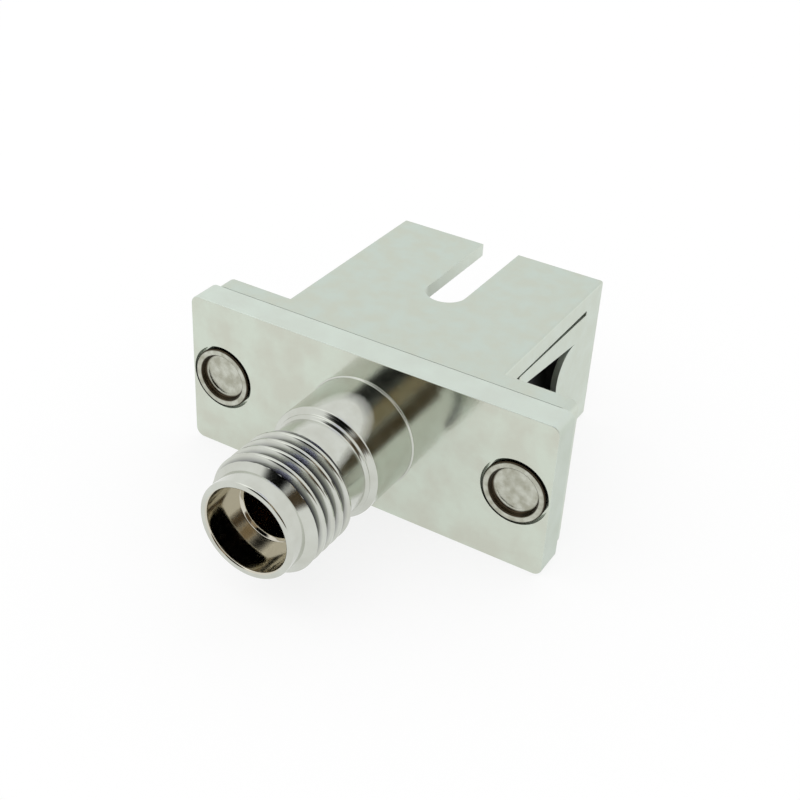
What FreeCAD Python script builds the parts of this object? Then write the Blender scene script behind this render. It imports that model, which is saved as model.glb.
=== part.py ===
import FreeCAD, Part
import os
from math import radians, tan

# Hybrid fibre adapter: a threaded port for a 3.175 mm ferrule on the front, a push-pull port
# for a 2.5 mm ferrule on the back, on a riveted flange. Sizes in millimetres.
# Frame: Y is the optical axis and runs towards the push-pull port, X is the flange's length,
# Z is up, on the side of the key slot. The origin is on the axis, in the face that seats on a panel.

# Flange plates
flange_length = 22.0
flange_height = 9.1
front_plate_thickness = 1.7
rear_plate_thickness = 1.15
rear_plate_end_inset = 0.35
rear_plate_edge_inset = 0.05
plate_corner_radius = 0.5
edge_round = 0.06
seam_width = 0.06
seam_depth = 0.15

# Threaded barrel, a quarter inch across with 36 right-handed threads to the inch
barrel_diameter = 6.35
barrel_reach = 10.0
nose_diameter = 5.35
nose_length = 1.05
thread_length = 3.55
thread_lead = 0.35
thread_run_out = 0.2
thread_pitch = 25.4 / 36
thread_depth = 0.425
thread_root_flat = 0.06
thread_flank_angle = 30.0
thread_tool_approach = 0.75
thread_tool_exit = 0.5
neck_diameter = 5.45
neck_length = 1.6
shoulder_length = 0.4
shoulder_step_diameter = 5.76
root_bead = 0.08
nose_chamfer = 0.08
collar_diameter = 8.0
collar_thickness = 0.8
port_diameter = 4.6
port_depth = 1.9
front_ferrule_bore = 3.18
bore_chamfer = 0.15

# Alignment sleeve, stepped from the front ferrule to the rear ferrule
rear_ferrule_bore = 2.5
sleeve_front_wall = 0.54
sleeve_front_length = 4.6
sleeve_rear_wall = 0.45
sleeve_rear_length = 6.0
sleeve_slit = 0.4
sleeve_fit = 0.02

# Housing of the push-pull port
box_width = 13.1
box_length = 12.15
box_edge_round = 0.15
side_wall = 0.35
top_wall = 0.8
key_slot_width = 2.35
key_slot_length = 7.65
mouth_round = 0.1

# Window in each side wall, with two tapered spring fingers and a round-nosed tongue
window_front = 1.25
window_length = 8.9
window_height = 6.9
finger_length = 8.3
finger_root_gap = 0.28
finger_tip_gap = 0.12
finger_root_height = 1.33
finger_tip_height = 0.72
tongue_reach = 1.9
tongue_setback = 1.15

# Latch holder, the moulded piece inside the housing
holder_fit = 0.05
holder_base_thickness = 0.7
holder_ledge = 0.7
port_width = 9.1
guide_setback = 0.7
tube_wall = 0.55
tube_end_gap = 0.2
hook_height = 2.8
hook_thickness = 0.8
hook_length = 8.7
hook_catch = 0.85
hook_catch_flat = 0.5
hook_slot = 0.7

# Rivets
rivet_end_wall = 0.1
rivet_shank_diameter = 2.4
rivet_rim_diameter = 3.5
rivet_rim_bore = 2.7
rivet_rim_height = 0.52
rivet_rim_round = 0.12
rivet_hollow_depth = 0.36
rivet_hollow_round = 0.2
rivet_pocket_diameter = 3.8
rivet_pocket_depth = 0.4
rivet_head_diameter = 3.1
rivet_head_thickness = 0.6

# Places along the optical axis
joint_y = -rear_plate_thickness
front_y = joint_y - front_plate_thickness
tip_y = front_y - barrel_reach
thread_front_y = tip_y + nose_length
thread_back_y = thread_front_y + thread_length
shoulder_y = thread_back_y + neck_length
port_seat_y = tip_y + port_depth
sleeve_front_y = joint_y - sleeve_front_length
sleeve_back_y = joint_y + sleeve_rear_length
ledge_y = joint_y + holder_base_thickness

# Widths and heights worked out from the sizes above
rear_plate_length = flange_length - 2 * rear_plate_end_inset
rear_plate_height = flange_height - 2 * rear_plate_edge_inset
box_height = rear_plate_height
cavity_width = box_width - 2 * side_wall
cavity_height = box_height - 2 * top_wall
sleeve_front_radius = front_ferrule_bore / 2 + sleeve_front_wall
sleeve_rear_radius = rear_ferrule_bore / 2 + sleeve_rear_wall
tube_bore_radius = sleeve_rear_radius + holder_fit
rivet_spacing = flange_length - rivet_pocket_diameter - 2 * rivet_end_wall
rivet_pocket_y = front_y + rivet_pocket_depth
overcut = 1.0
tool_overcut = 0.08
tolerance = 1e-4


def box(x0, x1, y0, y1, z0, z1):
    """Block between two corners."""
    return Part.makeBox(x1 - x0, y1 - y0, z1 - z0, FreeCAD.Vector(x0, y0, z0))


def centred_block(width, y0, y1, height):
    """Block centred on the optical axis."""
    return box(-width / 2, width / 2, y0, y1, -height / 2, height / 2)


def cylinder(radius, y0, y1, x=0.0):
    """Cylinder along Y, between two places on it."""
    return Part.makeCylinder(radius, y1 - y0, FreeCAD.Vector(x, y0, 0), FreeCAD.Vector(0, 1, 0))


def turned(points):
    """Solid turned about the optical axis from (radius, y) points, closed from last to first."""
    corners = [FreeCAD.Vector(radius, y, 0) for radius, y in points]
    face = Part.Face(Part.makePolygon(corners + corners[:1]))
    return face.revolve(FreeCAD.Vector(0, 0, 0), FreeCAD.Vector(0, 1, 0), 360)


def outline(corners, arc_side, arc_middle):
    """Face through the corners, closed from last to first; the side numbered arc_side is an arc."""
    edges = []
    for side, start in enumerate(corners):
        end = corners[(side + 1) % len(corners)]
        if side == arc_side:
            edges.append(Part.Arc(start, arc_middle, end).toShape())
        else:
            edges.append(Part.LineSegment(start, end).toShape())
    return Part.Face(Part.Wire(edges))


def along_y(edge):
    """True for a straight edge that runs along Y."""
    return edge.BoundBox.XLength < tolerance and edge.BoundBox.ZLength < tolerance


def in_plane(edge, y):
    """True for an edge that lies in the plane at one y."""
    return abs(edge.BoundBox.YMin - y) < tolerance and abs(edge.BoundBox.YMax - y) < tolerance


def rounded_plate(length, y0, y1, height, rounded_faces):
    """Plate with rounded corners and softened edges on the faces at the given places."""
    plate = centred_block(length, y0, y1, height)
    plate = plate.makeFillet(plate_corner_radius, [e for e in plate.Edges if along_y(e)])
    soft = [e for e in plate.Edges if any(in_plane(e, y) for y in rounded_faces)]
    return plate.makeFillet(edge_round, soft)


def rivet_places():
    """The two rivets' places on X."""
    return (-rivet_spacing / 2, rivet_spacing / 2)


def front_plate():
    """Front flange plate with the barrel's hole and the rivets' pockets."""
    plate = rounded_plate(flange_length, front_y, joint_y, flange_height, (front_y, joint_y))
    bore = barrel_diameter / 2
    cuts = [cylinder(bore, front_y - overcut, joint_y + overcut)]
    cuts.append(cylinder(collar_diameter / 2, joint_y - collar_thickness, joint_y + overcut))
    for x in rivet_places():
        cuts.append(cylinder(rivet_shank_diameter / 2, front_y - overcut, joint_y + overcut, x))
        cuts.append(cylinder(rivet_pocket_diameter / 2, front_y - overcut, rivet_pocket_y, x))
    for cut in cuts:
        plate = plate.cut(cut)
    return plate


def thread_groove():
    """Path of the threading tool: a V with a narrow flat on a right-handed helix over the barrel."""
    length = thread_tool_approach + thread_length + thread_tool_exit
    root = barrel_diameter / 2 - thread_depth
    rim = barrel_diameter / 2 + tool_overcut
    narrow = thread_root_flat / 2
    wide = narrow + (rim - root) * tan(radians(thread_flank_angle))
    section = [(rim, -wide), (root, -narrow), (root, narrow), (rim, wide)]
    corners = [FreeCAD.Vector(radius, 0, z) for radius, z in section]
    helix = Part.Wire(Part.makeLongHelix(thread_pitch, length, root))
    groove = helix.makePipeShell([Part.makePolygon(corners + corners[:1])], True, True)
    groove.rotate(FreeCAD.Vector(0, 0, 0), FreeCAD.Vector(1, 0, 0), -90)
    groove.translate(FreeCAD.Vector(0, thread_front_y - thread_tool_approach, 0))
    return groove


def threaded_barrel():
    """Turned barrel: nose, thread, neck, stepped shoulder, staked root and collar."""
    barrel = barrel_diameter / 2
    nose = nose_diameter / 2
    neck = neck_diameter / 2
    step = shoulder_step_diameter / 2
    step_front_y = shoulder_y + shoulder_length / 4
    step_back_y = shoulder_y + shoulder_length / 2
    port = port_diameter / 2
    bore = front_ferrule_bore / 2
    collar = collar_diameter / 2
    pocket = sleeve_front_radius + sleeve_fit
    outside = [
        (port + nose_chamfer, tip_y),
        (nose - nose_chamfer, tip_y),
        (nose, tip_y + nose_chamfer),
        (nose, thread_front_y),
        (barrel, thread_front_y + thread_lead),
        (barrel, thread_back_y - thread_run_out),
        (neck, thread_back_y),
        (neck, shoulder_y),
        (step, step_front_y),
        (step, step_back_y),
        (barrel, shoulder_y + shoulder_length),
        (barrel, front_y - root_bead),
        (barrel + root_bead, front_y - root_bead / 2),
        (barrel + root_bead, front_y),
        (barrel, front_y),
        (barrel, joint_y - collar_thickness),
        (collar, joint_y - collar_thickness),
        (collar, joint_y),
    ]
    inside = [
        (pocket, joint_y),
        (pocket, sleeve_front_y),
        (bore, sleeve_front_y),
        (bore, port_seat_y + bore_chamfer),
        (bore + bore_chamfer, port_seat_y),
        (port, port_seat_y),
        (port, tip_y + nose_chamfer),
    ]
    return turned(outside + inside).cut(thread_groove())


def alignment_sleeve():
    """Stepped sleeve that lines up the two ferrules; its rear half is slit and springs."""
    front_bore = front_ferrule_bore / 2
    rear_bore = rear_ferrule_bore / 2
    sleeve = turned([
        (front_bore, sleeve_front_y),
        (sleeve_front_radius, sleeve_front_y),
        (sleeve_front_radius, joint_y),
        (sleeve_rear_radius, joint_y),
        (sleeve_rear_radius, sleeve_back_y),
        (rear_bore, sleeve_back_y),
        (rear_bore, joint_y),
        (front_bore, joint_y),
    ])
    half = sleeve_slit / 2
    slit = box(-half, half, joint_y + sleeve_rear_wall, sleeve_back_y + overcut, 0, 2 * sleeve_rear_radius)
    return sleeve.cut(slit)


def window_outline():
    """Window's outline in the side wall: a rectangle less two spring fingers and a round-nosed tongue."""
    back = window_front + window_length
    top = window_height / 2
    finger_front = back - finger_length
    finger_low = top - finger_root_gap - finger_root_height
    tongue_root = back - tongue_setback
    upper = [
        (window_front, top),
        (back, top),
        (back, top - finger_root_gap),
        (finger_front, top - finger_tip_gap),
        (finger_front, top - finger_tip_gap - finger_tip_height),
        (tongue_root, finger_low),
    ]
    lower = [(y, -z) for y, z in reversed(upper)]
    corners = [FreeCAD.Vector(0, y, z) for y, z in upper + lower]
    return outline(corners, len(upper) - 1, FreeCAD.Vector(0, tongue_root - tongue_reach, 0))


def key_slot():
    """Slot for the plug's key, open at the mouth and round at its end."""
    radius = key_slot_width / 2
    end_y = box_length - key_slot_length + radius
    height = box_height / 2 + overcut
    run = box(-radius, radius, end_y, box_length + overcut, 0, height)
    up = FreeCAD.Vector(0, 0, 1)
    return run.fuse(Part.makeCylinder(radius, height, FreeCAD.Vector(0, end_y, 0), up))


def rear_housing():
    """Rear flange plate with a rebate for a thin seam, and the box of the push-pull port, in one piece."""
    shell = centred_block(box_width, joint_y, box_length, box_height)
    shell = shell.makeFillet(box_edge_round, [e for e in shell.Edges if along_y(e)])
    shell = shell.makeFillet(mouth_round, [e for e in shell.Edges if in_plane(e, box_length)])
    plate = rounded_plate(rear_plate_length, joint_y, 0, rear_plate_height, (0,))
    housing = shell.fuse(plate).removeSplitter()
    around = centred_block(flange_length, joint_y - overcut, joint_y + seam_width, flange_height)
    land_length = rear_plate_length - 2 * seam_depth
    land_height = rear_plate_height - 2 * seam_depth
    land = centred_block(land_length, joint_y - overcut, joint_y + seam_width, land_height)
    housing = housing.cut(around.cut(land))
    cuts = [centred_block(cavity_width, joint_y - overcut, box_length + overcut, cavity_height)]
    cuts.append(centred_block(cavity_width + 2 * holder_ledge, joint_y - overcut, ledge_y, cavity_height))
    cuts.append(key_slot())
    window = window_outline().extrude(FreeCAD.Vector(box_width + 2 * overcut, 0, 0))
    window.translate(FreeCAD.Vector(-box_width / 2 - overcut, 0, 0))
    cuts.append(window)
    for x in rivet_places():
        cuts.append(cylinder(rivet_shank_diameter / 2, joint_y - overcut, overcut, x))
        cuts.append(cylinder(rivet_head_diameter / 2, -rivet_head_thickness, overcut, x))
    for cut in cuts:
        housing = housing.cut(cut)
    return housing


def latch_hook(side):
    """One latch arm beside the port, with a ramped catch that points inwards."""
    inner = port_width / 2
    catch = inner - hook_catch
    end_y = ledge_y + hook_length
    ramp_y = end_y - hook_catch
    flat_y = ramp_y - hook_catch_flat
    points = [
        (inner, ledge_y),
        (inner + hook_thickness, ledge_y),
        (inner + hook_thickness, end_y),
        (inner, end_y),
        (catch, ramp_y),
        (catch, flat_y),
        (inner, flat_y - hook_catch),
    ]
    corners = [FreeCAD.Vector(side * x, y, -hook_height / 2) for x, y in points]
    face = Part.Face(Part.makePolygon(corners + corners[:1]))
    return face.extrude(FreeCAD.Vector(0, 0, hook_height))


def latch_holder():
    """Moulded holder: base, sleeve tube, side guides and two latch arms."""
    base_width = cavity_width + 2 * holder_ledge - 2 * holder_fit
    height = cavity_height - 2 * holder_fit
    inner = port_width / 2
    outer = cavity_width / 2 - holder_fit
    guide_back = box_length - guide_setback
    hook_room = hook_height / 2 + hook_slot
    hook_back = ledge_y + hook_length + hook_slot
    holder = centred_block(base_width, joint_y, ledge_y, height)
    for side in (-1, 1):
        near, far = sorted((side * inner, side * outer))
        guide = box(near, far, ledge_y, guide_back, -height / 2, height / 2)
        room = box(near - overcut, far + overcut, ledge_y, hook_back, -hook_room, hook_room)
        holder = holder.fuse(guide.cut(room)).fuse(latch_hook(side))
    tube_end = sleeve_back_y + tube_end_gap
    holder = holder.fuse(cylinder(tube_bore_radius + tube_wall, ledge_y, tube_end))
    return holder.cut(cylinder(tube_bore_radius, joint_y - overcut, tube_end + overcut)).removeSplitter()


def rivet(x):
    """Semi-tubular rivet: flush head behind, rolled rim in front that stands proud of its pocket."""
    shank = rivet_shank_diameter / 2
    outer = rivet_rim_diameter / 2
    inner = rivet_rim_bore / 2
    head = rivet_head_diameter / 2
    rim_top = rivet_pocket_y - rivet_rim_height
    floor_y = rim_top + rivet_hollow_depth
    solid = turned([
        (0, 0),
        (head, 0),
        (head, -rivet_head_thickness),
        (shank, -rivet_head_thickness),
        (shank, rivet_pocket_y),
        (outer, rivet_pocket_y),
        (outer, rim_top),
        (inner, rim_top),
        (inner, floor_y),
        (0, floor_y),
    ])
    solid = solid.makeFillet(rivet_hollow_round, [e for e in solid.Edges if in_plane(e, floor_y)])
    solid = solid.makeFillet(rivet_rim_round, [e for e in solid.Edges if in_plane(e, rim_top)])
    solid.translate(FreeCAD.Vector(x, 0, 0))
    return solid


nodes = {
    "front_plate": front_plate(),
    "threaded_barrel": threaded_barrel(),
    "alignment_sleeve": alignment_sleeve(),
    "rear_housing": rear_housing(),
    "latch_holder": latch_holder(),
    "rivets": Part.makeCompound([rivet(x) for x in rivet_places()]),
}
os.makedirs("parts", exist_ok=True)
for name, shape in nodes.items():
    shape.exportStep("parts/" + name + ".step")
    print(name, len(shape.Solids), "solids", round(shape.Volume, 2), "mm3", shape.isValid())
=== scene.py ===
from math import cos, pi, radians, sin, tan

import bpy
import numpy as np
from mathutils import Matrix, Vector


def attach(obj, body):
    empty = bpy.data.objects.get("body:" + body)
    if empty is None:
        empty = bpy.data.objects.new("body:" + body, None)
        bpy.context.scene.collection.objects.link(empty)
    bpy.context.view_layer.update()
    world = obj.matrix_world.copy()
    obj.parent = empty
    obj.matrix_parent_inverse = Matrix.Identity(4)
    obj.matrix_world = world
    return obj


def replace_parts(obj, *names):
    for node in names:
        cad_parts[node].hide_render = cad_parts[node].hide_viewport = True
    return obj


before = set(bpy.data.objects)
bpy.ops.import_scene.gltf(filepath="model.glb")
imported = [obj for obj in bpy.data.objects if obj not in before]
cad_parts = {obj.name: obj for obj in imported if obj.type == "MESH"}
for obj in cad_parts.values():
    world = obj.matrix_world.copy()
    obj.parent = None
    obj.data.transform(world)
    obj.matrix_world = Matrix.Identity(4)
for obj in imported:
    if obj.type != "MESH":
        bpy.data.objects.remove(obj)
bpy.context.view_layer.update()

# Sizes in millimetres, as in the solids
mm = 0.001
joint_y = -1.15
front_y = -2.85
tip_y = -12.85
floor_z = -4.55

# Turned barrel
barrel_radius = 3.175
nose_radius = 2.675
nose_length = 1.05
neck_radius = 2.725
step_radius = 2.88
port_radius = 2.3
ferrule_radius = 1.59
collar_radius = 4.0
pocket_radius = 2.15
thread_front_y = tip_y + nose_length
thread_length = 3.55
thread_back_y = thread_front_y + thread_length
thread_lead = 0.35
thread_run_out = 0.2
shoulder_y = thread_back_y + 1.6
shoulder_length = 0.4
root_bead = 0.08
collar_front_y = joint_y - 0.8
pocket_front_y = joint_y - 4.6
port_seat_y = tip_y + 1.9
bore_chamfer = 0.15
nose_chamfer = 0.08
thread_pitch = 25.4 / 36
thread_depth = 0.425
thread_root_flat = 0.06
thread_flank_angle = 30.0
thread_tool_approach = 0.75
edge_softness = 0.04
crest_softness = 0.08

# Rivets
rivet_x = 9.0
rivet_shank_radius = 1.2
rivet_rim_radius = 1.75
rivet_rim_bore_radius = 1.35
rivet_rim_round = 0.12
rivet_rim_y = front_y - 0.12
rivet_floor_y = rivet_rim_y + 0.36
rivet_floor_round = 0.2
rivet_pocket_y = front_y + 0.4
rivet_head_radius = 1.55
rivet_head_thickness = 0.6

# Camera, fitted to the photograph
camera_azimuth = 29.364
camera_elevation = 33.35
camera_roll = 3.386
camera_aim = (0.580, 0.368)
camera_distance = 70.816
focal_pixels = 1317.5
image_pixels = 800
sensor_width = 36.0

# Scale at which a band texture repeats once in a unit, for cells worked out with per_mm
bands_per_cell = 2 * pi / 20

# Floor, and the share of it that glows white for the camera and for reflections
floor_half_width = 1500.0
floor_glow = 0.8

# Cards that the metal mirrors, a pale one and dark ones: azimuth, elevation, and the angles in degrees
# from the middle at which the card begins to fade and is gone, and its colour
mirrored_cards = (
    (152, 75, 7, 22, "#CCCCF4"),
    (28, 36, 8, 22, "#A08E74"),
    (41, 14, 8, 22, "#564630"),
    (21, 11, 6, 18, "#4E4232"),
    (-4, 36, 14, 25, "#060606"),
)
card_distance = 600.0
card_gap = 5.0

# Soft lamp
lamp_azimuth = -60
lamp_elevation = 60
lamp_distance = 450.0
lamp_size = 300.0
lamp_watts = 0.12


def linear(hex_colour):
    """Linear RGBA of an sRGB hex colour."""
    s = np.array([int(hex_colour[i:i + 2], 16) / 255 for i in (1, 3, 5)])
    rgb = np.where(s <= 0.04045, s / 12.92, ((s + 0.055) / 1.055) ** 2.4)
    return (*rgb.tolist(), 1.0)


def per_mm(size):
    """Texture scale at which a pattern's cell measures size millimetres."""
    return 1 / (size * mm)


def add(tree, kind, inputs=None, **settings):
    """Adds a node: settings are its properties, inputs are values or the sockets that feed it."""
    made = tree.nodes.new(kind)
    for name, value in settings.items():
        setattr(made, name, value)
    for name, value in (inputs or {}).items():
        if isinstance(value, bpy.types.NodeSocket):
            tree.links.new(value, made.inputs[name])
        else:
            made.inputs[name].default_value = value
    return made


def surface(name):
    """New material with a bare node tree, its object coordinates and its output."""
    made = bpy.data.materials.new(name)
    made.use_nodes = True
    tree = made.node_tree
    tree.nodes.clear()
    place = add(tree, "ShaderNodeTexCoord").outputs["Object"]
    return made, tree, place, add(tree, "ShaderNodeOutputMaterial")


def plated_nickel(name, face, edge, end, blotch, grain, roughness, edge_roughness, relief):
    """Nickel plate on a blank: cloudy tone, soft reflections, a fine grain.

    face, edge and end are pairs of a light and a dark tone: for faces across Y, for walls along Y, and for
    those walls that look along X. The edge and end pairs are painted shading: lighter or darker copies of the
    plate that stand in for how light falls on those walls.
    """
    made, tree, place, out = surface(name)
    cloud = add(tree, "ShaderNodeTexNoise", {"Vector": place, "Scale": per_mm(blotch), "Detail": 4.0})
    fine = add(tree, "ShaderNodeTexNoise", {"Vector": place, "Scale": per_mm(grain), "Detail": 2.0})
    cloudy = add(tree, "ShaderNodeMapRange", {
        "Value": cloud.outputs["Fac"], "From Min": 0.35, "From Max": 0.65})
    # Painted shading: walls along Y and walls looking along X get their own lighter or darker tones, standing
    # in for how light falls on them
    face_tone, side_painted_shading_tone, end_painted_shading_tone = [
        add(tree, "ShaderNodeMix", {
            "Factor": cloudy.outputs["Result"], "A": linear(dark), "B": linear(light)}, data_type="RGBA")
        for light, dark in (face, edge, end)]
    normal = add(tree, "ShaderNodeVectorMath", {
        0: add(tree, "ShaderNodeTexCoord").outputs["Normal"]}, operation="ABSOLUTE")
    facing = add(tree, "ShaderNodeSeparateXYZ", {"Vector": normal.outputs["Vector"]})
    sideways = add(tree, "ShaderNodeMapRange", {
        "Value": facing.outputs["Y"], "From Min": 0.8, "From Max": 0.99, "To Min": 1.0, "To Max": 0.0})
    endways = add(tree, "ShaderNodeMapRange", {
        "Value": facing.outputs["X"], "From Min": 0.7, "From Max": 0.9})
    # Painted shading laid over the face tone by which way the surface faces
    side_painted_shading = add(tree, "ShaderNodeMix", {
        "Factor": sideways.outputs["Result"], "A": face_tone.outputs["Result"],
        "B": side_painted_shading_tone.outputs["Result"]}, data_type="RGBA")
    painted_shading_tone = add(tree, "ShaderNodeMix", {
        "Factor": endways.outputs["Result"], "A": side_painted_shading.outputs["Result"],
        "B": end_painted_shading_tone.outputs["Result"]}, data_type="RGBA")
    gloss = add(tree, "ShaderNodeMapRange", {
        "Value": cloud.outputs["Fac"], "From Min": 0.3, "From Max": 0.7,
        "To Min": roughness[0], "To Max": roughness[1]})
    dulled = add(tree, "ShaderNodeMix", {
        "Factor": sideways.outputs["Result"], "A": gloss.outputs["Result"], "B": edge_roughness})
    bump = add(tree, "ShaderNodeBump", {
        "Height": fine.outputs["Fac"], "Strength": relief, "Distance": 0.02 * mm})
    shader = add(tree, "ShaderNodeBsdfPrincipled", {
        "Base Color": painted_shading_tone.outputs["Result"], "Metallic": 1.0,
        "Roughness": dulled.outputs["Result"], "Normal": bump.outputs["Normal"]})
    tree.links.new(shader.outputs["BSDF"], out.inputs["Surface"])
    return made


def turned_nickel():
    """Bright nickel on turned brass: near-mirror bands, fine tool rings, painted shade in the thread grooves,
    a warm bore.
    """
    made, tree, place, out = surface("bright_nickel_on_turned_brass")
    rings = add(tree, "ShaderNodeTexWave", {
        "Vector": place, "Scale": per_mm(0.06) * bands_per_cell, "Distortion": 1.5, "Detail": 2.0},
        wave_type="BANDS", bands_direction="Y")
    cloud = add(tree, "ShaderNodeTexNoise", {"Vector": place, "Scale": per_mm(0.9), "Detail": 3.0})
    tone = add(tree, "ShaderNodeValToRGB", {"Fac": cloud.outputs["Fac"]})
    tone.color_ramp.elements[0].position = 0.3
    tone.color_ramp.elements[0].color = linear("#C4C6BD")
    tone.color_ramp.elements[1].position = 0.7
    tone.color_ramp.elements[1].color = linear("#CDD0C8")
    across = add(tree, "ShaderNodeVectorMath", {0: place, 1: (1, 0, 1)}, operation="MULTIPLY")
    radius = add(tree, "ShaderNodeVectorMath", {0: across.outputs["Vector"]}, operation="LENGTH")
    along = add(tree, "ShaderNodeSeparateXYZ", {"Vector": place})
    # Painted shade: colour darkened towards #5C5C62 the deeper a point lies in the thread's grooves, standing
    # in for the shade between the flanks
    groove_depth_shade = add(tree, "ShaderNodeMapRange", {
        "Value": radius.outputs["Value"], "From Min": (barrel_radius - 0.9 * thread_depth) * mm,
        "From Max": (barrel_radius - 0.2 * thread_depth) * mm, "To Min": 1.0, "To Max": 0.0})
    on_thread = add(tree, "ShaderNodeMath", {
        0: along.outputs["Y"], 1: (thread_front_y + thread_lead + thread_back_y) / 2 * mm,
        2: (thread_length - thread_lead) / 2 * mm}, operation="COMPARE")
    groove = add(tree, "ShaderNodeMath", {
        0: groove_depth_shade.outputs["Result"], 1: on_thread.outputs[0]}, operation="MULTIPLY")
    groove_painted_shade = add(tree, "ShaderNodeMix", {
        "Factor": groove.outputs[0], "A": tone.outputs["Color"], "B": linear("#5C5C62")}, data_type="RGBA")
    bored = add(tree, "ShaderNodeMath", {
        0: radius.outputs["Value"], 1: (port_radius + bore_chamfer / 2) * mm}, operation="LESS_THAN")
    warm = add(tree, "ShaderNodeMix", {
        "Factor": bored.outputs[0], "A": groove_painted_shade.outputs["Result"], "B": linear("#CDC9BB")}, data_type="RGBA")
    behind = add(tree, "ShaderNodeMath", {
        0: along.outputs["Y"], 1: thread_back_y * mm}, operation="GREATER_THAN")
    ridges = add(tree, "ShaderNodeMath", {
        0: rings.outputs["Fac"], 1: behind.outputs[0]}, operation="MULTIPLY")
    bump = add(tree, "ShaderNodeBump", {
        "Height": ridges.outputs[0], "Strength": 0.35, "Distance": 0.004 * mm})
    gloss = add(tree, "ShaderNodeMapRange", {
        "Value": cloud.outputs["Fac"], "From Min": 0.3, "From Max": 0.7, "To Min": 0.07, "To Max": 0.14})
    shader = add(tree, "ShaderNodeBsdfPrincipled", {
        "Base Color": warm.outputs["Result"], "Metallic": 1.0,
        "Roughness": gloss.outputs["Result"], "Normal": bump.outputs["Normal"]})
    tree.links.new(shader.outputs["BSDF"], out.inputs["Surface"])
    return made


def black_moulding():
    """Moulded black polyester: matt, slightly uneven skin from the mould."""
    made, tree, place, out = surface("moulded_black_polyester")
    skin = add(tree, "ShaderNodeTexNoise", {"Vector": place, "Scale": per_mm(0.12), "Detail": 3.0})
    tone = add(tree, "ShaderNodeValToRGB", {"Fac": skin.outputs["Fac"]})
    tone.color_ramp.elements[0].color = linear("#101010")
    tone.color_ramp.elements[1].color = linear("#1D1D1C")
    bump = add(tree, "ShaderNodeBump", {
        "Height": skin.outputs["Fac"], "Strength": 0.3, "Distance": 0.02 * mm})
    shader = add(tree, "ShaderNodeBsdfPrincipled", {
        "Base Color": tone.outputs["Color"], "Roughness": 0.55, "IOR": 1.55,
        "Normal": bump.outputs["Normal"]})
    tree.links.new(shader.outputs["BSDF"], out.inputs["Surface"])
    return made


def drawn_bronze():
    """Drawn phosphor bronze: warm brown metal with faint lines along its length."""
    made, tree, place, out = surface("drawn_phosphor_bronze")
    along = add(tree, "ShaderNodeMapping", {"Vector": place, "Scale": (1.0, 0.05, 1.0)})
    lines = add(tree, "ShaderNodeTexNoise", {
        "Vector": along.outputs["Vector"], "Scale": per_mm(0.15), "Detail": 2.0})
    tone = add(tree, "ShaderNodeValToRGB", {"Fac": lines.outputs["Fac"]})
    tone.color_ramp.elements[0].color = linear("#8E6A45")
    tone.color_ramp.elements[1].color = linear("#B8905F")
    shader = add(tree, "ShaderNodeBsdfPrincipled", {
        "Base Color": tone.outputs["Color"], "Metallic": 1.0, "Roughness": 0.3})
    tree.links.new(shader.outputs["BSDF"], out.inputs["Surface"])
    return made


def softened(points, radius, steps=4):
    """Open profile with each inner corner replaced by a short quadratic curve between two holding points."""
    p = np.array(points, float)
    here = p[1:-1]
    back = p[:-2] - here
    ahead = p[2:] - here
    back_length = np.linalg.norm(back, axis=1, keepdims=True)
    ahead_length = np.linalg.norm(ahead, axis=1, keepdims=True)
    start = here + back * np.minimum(radius / back_length, 0.4)
    end = here + ahead * np.minimum(radius / ahead_length, 0.4)
    hold_start = here + back * np.minimum(2 * radius / back_length, 0.45)
    hold_end = here + ahead * np.minimum(2 * radius / ahead_length, 0.45)
    t = np.linspace(0, 1, steps)[None, :, None]
    curve = (1 - t) ** 2 * start[:, None] + 2 * t * (1 - t) * here[:, None] + t ** 2 * end[:, None]
    corner = np.concatenate([hold_start[:, None], curve, hold_end[:, None]], axis=1)
    return np.vstack([p[:1], corner.reshape(-1, 2), p[-1:]])


def lesser(a, b, softness):
    """Lesser of two lengths, with the corner where they cross rounded off over softness either side."""
    near = np.maximum(softness - np.abs(a - b), 0)
    return np.minimum(a, b) - near ** 2 / (4 * softness)


def thread_radius(y, angle):
    """Radius of the thread: the barrel less a right-handed V groove with a narrow flat, between end cones."""
    turn = (y - thread_front_y + thread_tool_approach) / thread_pitch - (angle - pi / 2) / (2 * pi)
    off_groove = np.abs((turn + 0.5) % 1 - 0.5) * thread_pitch
    off_root = -lesser(thread_root_flat / 2 - off_groove, 0, thread_root_flat / 2)
    flank = off_root / tan(radians(thread_flank_angle))
    ridge = barrel_radius - thread_depth + lesser(flank, thread_depth, crest_softness)
    lead_in = nose_radius + (barrel_radius - nose_radius) * (y - thread_front_y) / thread_lead
    run_out = neck_radius + (barrel_radius - neck_radius) * (thread_back_y - y) / thread_run_out
    return np.minimum(ridge, np.minimum(lead_in, run_out))


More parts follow.
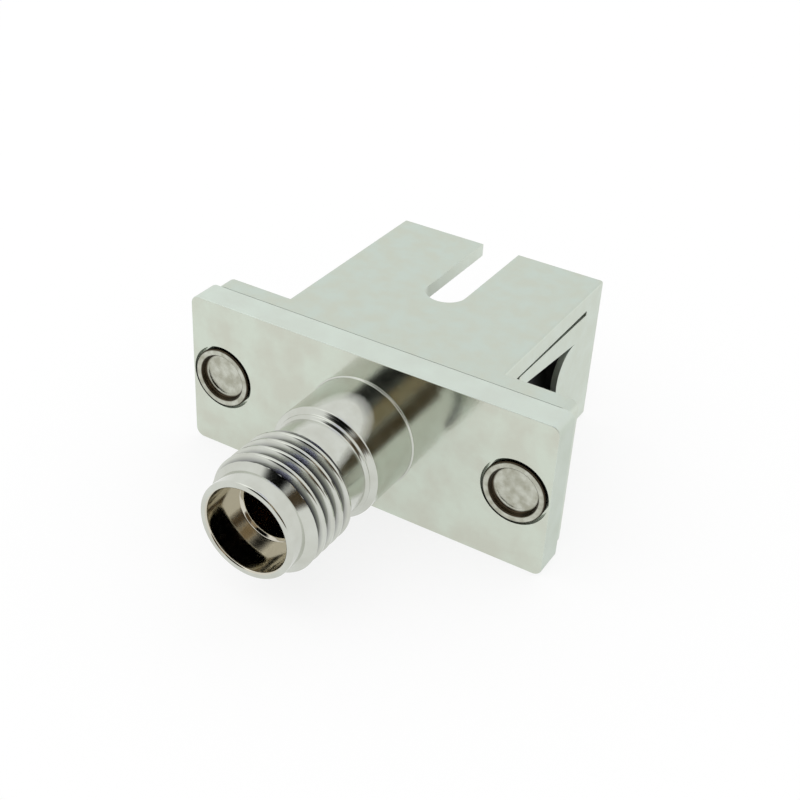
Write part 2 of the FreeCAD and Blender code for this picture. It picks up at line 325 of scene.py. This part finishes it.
def threaded_barrel(material, segments=200, thread_rows=260):
    """Turned barrel: a closed profile of (radius, y) carried round the Y axis, with a helical thread."""
    nose = softened([
        (port_radius, port_seat_y),
        (port_radius, tip_y + nose_chamfer),
        (port_radius + nose_chamfer, tip_y),
        (nose_radius - nose_chamfer, tip_y),
        (nose_radius, tip_y + nose_chamfer),
        (nose_radius, thread_front_y),
    ], edge_softness)
    rest = softened([
        (neck_radius, thread_back_y),
        (neck_radius, shoulder_y),
        (step_radius, shoulder_y + shoulder_length / 4),
        (step_radius, shoulder_y + shoulder_length / 2),
        (barrel_radius, shoulder_y + shoulder_length),
        (barrel_radius, front_y - root_bead),
        (barrel_radius + root_bead, front_y - root_bead / 2),
        (barrel_radius + root_bead, front_y),
        (barrel_radius, front_y),
        (barrel_radius, collar_front_y),
        (collar_radius, collar_front_y),
        (collar_radius, joint_y),
        (pocket_radius, joint_y),
        (pocket_radius, pocket_front_y),
        (ferrule_radius, pocket_front_y),
        (ferrule_radius, port_seat_y + bore_chamfer),
        (ferrule_radius + bore_chamfer, port_seat_y),
        (port_radius, port_seat_y),
    ], edge_softness)[:-1]
    thread_y = np.linspace(thread_front_y, thread_back_y, thread_rows + 2)[1:-1]
    angle = np.linspace(0, 2 * pi, segments, endpoint=False)
    y = np.concatenate([nose[:, 1], thread_y, rest[:, 1]])
    r = np.vstack([
        np.repeat(nose[:, :1], segments, axis=1),
        thread_radius(thread_y[:, None], angle[None, :]),
        np.repeat(rest[:, :1], segments, axis=1),
    ])
    rings_y = np.repeat(y[:, None], segments, axis=1)
    points = np.stack([r * np.sin(angle), rings_y, r * np.cos(angle)], axis=2).reshape(-1, 3)
    faces = ring_quads(len(y), segments).tolist()
    return new_piece("threaded_barrel_turned", points, faces, material)


def arc(centre, radius, start, end, steps=9):
    """Points of an arc about a (radius, y) centre; 0 degrees points along +Y, 90 away from the axis."""
    t = np.radians(np.linspace(start, end, steps))
    return np.array(centre) + radius * np.stack([np.sin(t), np.cos(t)], axis=1)


def rolled_rivets(material, segments=96):
    """Both rivets: a profile of (radius, y) from the hollow's floor to the head, carried round each axis."""
    floor_radius = rivet_rim_bore_radius - rivet_floor_round
    rim_y = rivet_rim_y + rivet_rim_round
    profile = np.vstack([
        [(floor_radius - edge_softness, rivet_floor_y)],
        arc((floor_radius, rivet_floor_y - rivet_floor_round), rivet_floor_round, 0, 90),
        arc((rivet_rim_bore_radius + rivet_rim_round, rim_y), rivet_rim_round, -90, -180),
        arc((rivet_rim_radius - rivet_rim_round, rim_y), rivet_rim_round, 180, 90),
        [(rivet_rim_radius, rivet_pocket_y)],
        [(rivet_shank_radius, rivet_pocket_y)],
        [(rivet_shank_radius, -rivet_head_thickness)],
        [(rivet_head_radius, -rivet_head_thickness)],
        [(rivet_head_radius, 0)],
    ])
    angle = np.linspace(0, 2 * pi, segments, endpoint=False)
    r = profile[:, :1]
    rings_y = np.repeat(profile[:, 1:], segments, axis=1)
    rings = np.stack([r * np.sin(angle), rings_y, r * np.cos(angle)], axis=2).reshape(-1, 3)
    points = np.vstack([rings, [(0, rivet_floor_y, 0)], [(0, 0, 0)]])
    first = np.arange(segments)
    last = first + (len(profile) - 1) * segments
    floor_pole = np.full(segments, len(rings))
    head_pole = floor_pole + 1
    sides = ring_quads(len(profile), segments)[:-segments].tolist()
    floor = np.stack([floor_pole, np.roll(first, -1), first], axis=1).tolist()
    head = np.stack([last, np.roll(last, -1), head_pole], axis=1).tolist()
    one = sides + floor + head
    other = [[corner + len(points) for corner in face] for face in one]
    both = np.vstack([points - (rivet_x, 0, 0), points + (rivet_x, 0, 0)])
    return new_piece("rivets_rolled", both, one + other, material)


def ring_quads(rings, segments):
    """Faces between neighbouring rings of points; the last row of faces joins the last ring to the first."""
    index = np.arange(rings * segments).reshape(rings, segments)
    down = np.roll(index, -1, axis=0)
    right = np.roll(index, -1, axis=1)
    return np.stack([index, right, np.roll(down, -1, axis=1), down], axis=2).reshape(-1, 4)


def new_piece(name, points, faces, material, sharp_angle=40):
    """Smooth mesh of points in millimetres, sharp at its corners, that rides on the object."""
    mesh = bpy.data.meshes.new(name)
    mesh.from_pydata((points * mm).tolist(), [], faces)
    mesh.shade_smooth()
    mesh.set_sharp_from_angle(angle=radians(sharp_angle))
    mesh.materials.append(material)
    made = bpy.data.objects.new(name, mesh)
    bpy.context.scene.collection.objects.link(made)
    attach(made, "root")
    return made


def dress(node, material):
    """Gives a CAD node its finish."""
    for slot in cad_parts[node].material_slots:
        slot.material = material


def flat_square(name, half_width, material):
    """Level square about its own origin."""
    corners = [(x * half_width, y * half_width, 0) for x, y in ((-1, -1), (1, -1), (1, 1), (-1, 1))]
    mesh = bpy.data.meshes.new(name)
    mesh.from_pydata(corners, [], [(0, 1, 2, 3)])
    mesh.materials.append(material)
    made = bpy.data.objects.new(name, mesh)
    bpy.context.scene.collection.objects.link(made)
    return made


def studio_floor():
    """Pale sweep under the object, white to the eye and to reflections, that keeps the shadow."""
    made, tree, place, out = surface("pale_paper_sweep")
    path = add(tree, "ShaderNodeLightPath")
    mirrored = add(tree, "ShaderNodeMath", {
        0: path.outputs["Is Camera Ray"], 1: path.outputs["Is Glossy Ray"]}, operation="MAXIMUM")
    seen = add(tree, "ShaderNodeMath", {
        0: mirrored.outputs[0], 1: path.outputs["Is Transmission Ray"]}, operation="MAXIMUM")
    share = add(tree, "ShaderNodeMath", {0: seen.outputs[0], 1: floor_glow}, operation="MULTIPLY")
    paper = add(tree, "ShaderNodeBsdfDiffuse", {"Color": linear("#FCFCFC")})
    glow = add(tree, "ShaderNodeEmission", {"Color": (1, 1, 1, 1), "Strength": 1.0})
    mix = add(tree, "ShaderNodeMixShader", {
        "Fac": share.outputs[0], 1: paper.outputs["BSDF"], 2: glow.outputs["Emission"]})
    tree.links.new(mix.outputs["Shader"], out.inputs["Surface"])
    floor = flat_square("studio_floor", floor_half_width * mm, made)
    floor.matrix_world = Matrix.Translation((0, 0, floor_z * mm))


def heading(azimuth, elevation):
    """Unit vector to a place in the room; azimuth 0 is in front of the barrel, 90 at the object's right."""
    a = radians(azimuth)
    e = radians(elevation)
    return Vector((sin(a) * cos(e), -cos(a) * cos(e), sin(e)))


def camera_axes():
    """Right, up and back axes of the camera from its azimuth, elevation and roll."""
    a = radians(camera_azimuth)
    roll = radians(camera_roll)
    back = heading(camera_azimuth, camera_elevation)
    level = Vector((cos(a), sin(a), 0))
    upright = back.cross(level)
    right = cos(roll) * level + sin(roll) * upright
    up = cos(roll) * upright - sin(roll) * level
    return right, up, back


def studio_camera():
    """Camera at the photograph's viewing angle."""
    right, up, back = camera_axes()
    place = (camera_aim[0] * right + camera_aim[1] * up + camera_distance * back) * mm
    lens = bpy.data.cameras.new("camera")
    lens.sensor_width = sensor_width
    lens.lens = focal_pixels / image_pixels * sensor_width
    lens.clip_start = 1 * mm
    made = bpy.data.objects.new("camera", lens)
    made.matrix_world = Matrix.Translation(place) @ Matrix((right, up, back)).transposed().to_4x4()
    bpy.context.scene.collection.objects.link(made)
    bpy.context.scene.camera = made


def facing_origin(azimuth, elevation, distance):
    """Placement at a place in the room, turned to face the object."""
    place = heading(azimuth, elevation) * distance * mm
    return Matrix.Translation(place) @ place.to_track_quat("Z", "Y").to_matrix().to_4x4()


def mirrored_card(name, azimuth, elevation, inner, outer, colour, distance):
    """Card with a soft edge that stands outside the picture and is seen only in the metal."""
    made, tree, place, out = surface(name)
    off_centre = add(tree, "ShaderNodeVectorMath", {0: place}, operation="LENGTH")
    full = distance * tan(radians(inner)) * mm
    edge = distance * tan(radians(outer)) * mm
    fade = add(tree, "ShaderNodeMapRange", {
        "Value": off_centre.outputs["Value"], "From Min": full, "From Max": edge,
        "To Min": 1.0, "To Max": 0.0}, interpolation_type="SMOOTHSTEP")
    clear = add(tree, "ShaderNodeBsdfTransparent")
    card = add(tree, "ShaderNodeBsdfDiffuse", {"Color": linear(colour)})
    mix = add(tree, "ShaderNodeMixShader", {
        "Fac": fade.outputs["Result"], 1: clear.outputs["BSDF"], 2: card.outputs["BSDF"]})
    tree.links.new(mix.outputs["Shader"], out.inputs["Surface"])
    piece = flat_square(name, edge, made)
    piece.matrix_world = facing_origin(azimuth, elevation, distance)
    piece.visible_camera = False
    piece.visible_diffuse = False
    piece.visible_shadow = False


def studio_light():
    """White room with the mirrored cards in it, and one soft lamp."""
    world = bpy.data.worlds.new("studio")
    bpy.context.scene.world = world
    world.use_nodes = True
    tree = world.node_tree
    tree.nodes.clear()
    white = add(tree, "ShaderNodeBackground", {"Color": (1, 1, 1, 1), "Strength": 1.0})
    out = add(tree, "ShaderNodeOutputWorld")
    tree.links.new(white.outputs["Background"], out.inputs["Surface"])
    for number, card in enumerate(mirrored_cards, 1):
        mirrored_card(f"mirrored_card_{number}", *card, card_distance - number * card_gap)
    lamp = bpy.data.lights.new("soft_box", "AREA")
    lamp.size = lamp_size * mm
    lamp.energy = lamp_watts
    made = bpy.data.objects.new("soft_box", lamp)
    made.matrix_world = facing_origin(lamp_azimuth, lamp_elevation, lamp_distance)
    bpy.context.scene.collection.objects.link(made)


# Painted light: the edge and end pairs are lighter than the face pair, so the plate's top and side walls look
# brighter lit than its front face
plate = plated_nickel(
    "satin_nickel_on_milled_brass", face=("#CFD7CA", "#C9CCBF"), edge=("#D5DFD5", "#D1D9CF"),
    end=("#CFD8CE", "#C9D2C6"), blotch=1.6, grain=0.14, roughness=(0.10, 0.15), edge_roughness=0.45,
    relief=0.06)
# Painted light: the end pair is much lighter than the face pair and the edge pair a little lighter,
# brightening the housing's side and top walls
cast = plated_nickel(
    "satin_nickel_on_cast_zinc", face=("#CDD4CA", "#C6CABE"), edge=("#CCD6CC", "#CCD2C5"),
    end=("#DBE3D9", "#D7DED2"), blotch=1.1, grain=0.2, roughness=(0.35, 0.45), edge_roughness=0.5,
    relief=0.12)
# Painted shading: the edge and end pairs are dark brown, a painted shade and painted dark reflection on the
# rims' flanks and the hollows' walls
rolled = plated_nickel(
    "nickel_on_rolled_brass", face=("#C8CABE", "#A6A697"), edge=("#443B2E", "#3A3226"),
    end=("#443B2E", "#3A3226"), blotch=0.5, grain=0.15, roughness=(0.14, 0.22), edge_roughness=0.3,
    relief=0.2)
dress("front_plate", plate)
dress("rear_housing", cast)
dress("latch_holder", black_moulding())
dress("alignment_sleeve", drawn_bronze())
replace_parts(threaded_barrel(turned_nickel()), "threaded_barrel")
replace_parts(rolled_rivets(rolled), "rivets")
studio_floor()
studio_light()
studio_camera()
bpy.context.scene.view_settings.view_transform = "Standard"
